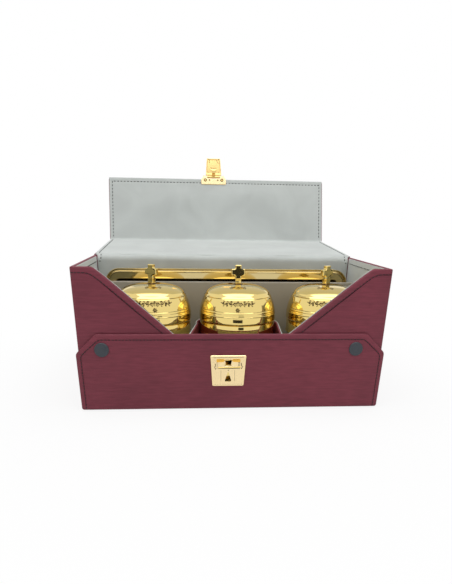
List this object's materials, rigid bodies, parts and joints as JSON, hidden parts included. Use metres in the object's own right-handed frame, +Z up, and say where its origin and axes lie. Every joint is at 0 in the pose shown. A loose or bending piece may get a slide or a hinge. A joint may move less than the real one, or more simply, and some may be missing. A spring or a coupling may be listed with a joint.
{
  "type": "chrismatory",
  "caption": "Open lined case of leather-covered boards with a folding lid, hasp and lock, holding domed gold oil vessels with cross finials and a tray.",
  "frame": {"origin": "middle of the flat underside of the case, at the plane of its outer walls", "axes": "+X to the right of someone facing the lock, +Y to the back where the lid lies open, +Z up"},
  "size_m": [0.304, 0.3091, 0.2594],
  "materials": {
    "burgundy_leatherette": "satin",
    "grey_suede": "matte",
    "gold_plate": "polished",
    "dark_snap": "gloss",
    "steel": "satin"
  },
  "bodies": {
    "root": {"base_panel": "burgundy_leatherette", "back_panel": "burgundy_leatherette", "front_sill": "burgundy_leatherette", "side_panel_left": "burgundy_leatherette", "side_panel_right": "burgundy_leatherette", "front_wing_left": "burgundy_leatherette", "front_wing_right": "burgundy_leatherette", "lining_base": "grey_suede", "lining_back": "grey_suede", "lining_side_left": "grey_suede", "lining_side_right": "grey_suede", "lining_wing_left": "grey_suede", "lining_wing_right": "grey_suede", "partition": "grey_suede", "divider_wall": "burgundy_leatherette", "divider_suede": "grey_suede", "snap_stud_left": "steel", "snap_stud_right": "steel", "lid_hinge_roll": "burgundy_leatherette"},
    "lid_top": {"lid_top_panel": "burgundy_leatherette", "lid_top_lining": "grey_suede", "lid_fold_roll": "burgundy_leatherette"},
    "lid_front": {"lid_front_panel": "burgundy_leatherette", "lid_front_lining": "grey_suede", "hasp_base_plate": "gold_plate", "hasp_pin": "gold_plate", "hasp_rivet_left": "gold_plate", "hasp_rivet_right": "gold_plate"},
    "hasp": {"hasp_tongue": "gold_plate"},
    "flap": {"flap_panel": "burgundy_leatherette", "flap_lining": "grey_suede", "snap_cap_left": "dark_snap", "snap_cap_right": "dark_snap", "snap_socket_left": "steel", "snap_socket_right": "steel", "lock_plate": "gold_plate", "lock_case": "steel", "lock_spring": "steel"},
    "lock_catch": {"lock_catch_plate": "gold_plate"},
    "vessel_left": {"vessel_left_body": "gold_plate", "vessel_left_cup": "steel"},
    "vessel_middle": {"vessel_middle_body": "gold_plate", "vessel_middle_cup": "steel"},
    "vessel_right": {"vessel_right_body": "gold_plate", "vessel_right_cup": "steel"},
    "vessel_left_lid": {"vessel_left_dome": "gold_plate", "vessel_left_collar": "gold_plate", "vessel_left_finial": "gold_plate", "vessel_left_nut": "gold_plate"},
    "vessel_middle_lid": {"vessel_middle_dome": "gold_plate", "vessel_middle_collar": "gold_plate", "vessel_middle_finial": "gold_plate", "vessel_middle_nut": "gold_plate"},
    "vessel_right_lid": {"vessel_right_dome": "gold_plate", "vessel_right_collar": "gold_plate", "vessel_right_finial": "gold_plate", "vessel_right_nut": "gold_plate"},
    "tray": {"tray": "gold_plate"}
  },
  "joints": [
    {"name": "lid_hinge", "type": "hinge", "parent": "root", "child": "lid_top", "pos_m": [0, 0.066, 0.141], "axis": [-1, 0, 0], "range_deg": [-176.2, 30]},
    {"name": "lid_fold", "type": "hinge", "parent": "lid_top", "child": "lid_front", "pos_m": [0, 0.20712, 0.14686], "axis": [-1, 0, 0], "range_deg": [-20.8, 69.2]},
    {"name": "hasp_hinge", "type": "hinge", "parent": "lid_front", "child": "hasp", "pos_m": [-0.0052, 0.23158, 0.23507], "axis": [-1, 0, 0], "range_deg": [0, 90]},
    {"name": "flap_hinge", "type": "hinge", "parent": "root", "child": "flap", "pos_m": [0, -0.0683, 0.0003], "axis": [1, 0, 0], "range_deg": [0, 83]},
    {"name": "lock_catch_slide", "type": "slide", "parent": "flap", "child": "lock_catch", "axis": [0, 0, -1], "range_m": [0, 0.002], "stiffness_N_per_m": 200},
    {"name": "vessel_left_lift", "type": "slide", "parent": "root", "child": "vessel_left", "axis": [0, 0, 1], "range_m": [0, 0.15]},
    {"name": "vessel_middle_lift", "type": "slide", "parent": "root", "child": "vessel_middle", "axis": [0, 0, 1], "range_m": [0, 0.15]},
    {"name": "vessel_right_lift", "type": "slide", "parent": "root", "child": "vessel_right", "axis": [0, 0, 1], "range_m": [0, 0.15]},
    {"name": "vessel_left_lid_lift", "type": "slide", "parent": "vessel_left", "child": "vessel_left_lid", "axis": [0, 0, 1], "range_m": [0, 0.045]},
    {"name": "vessel_middle_lid_lift", "type": "slide", "parent": "vessel_middle", "child": "vessel_middle_lid", "axis": [0, 0, 1], "range_m": [0, 0.045]},
    {"name": "vessel_right_lid_lift", "type": "slide", "parent": "vessel_right", "child": "vessel_right_lid", "axis": [0, 0, 1], "range_m": [0, 0.045]},
    {"name": "tray_lift", "type": "slide", "parent": "root", "child": "tray", "axis": [0, 0, 1], "range_m": [0, 0.15]}
  ]
}
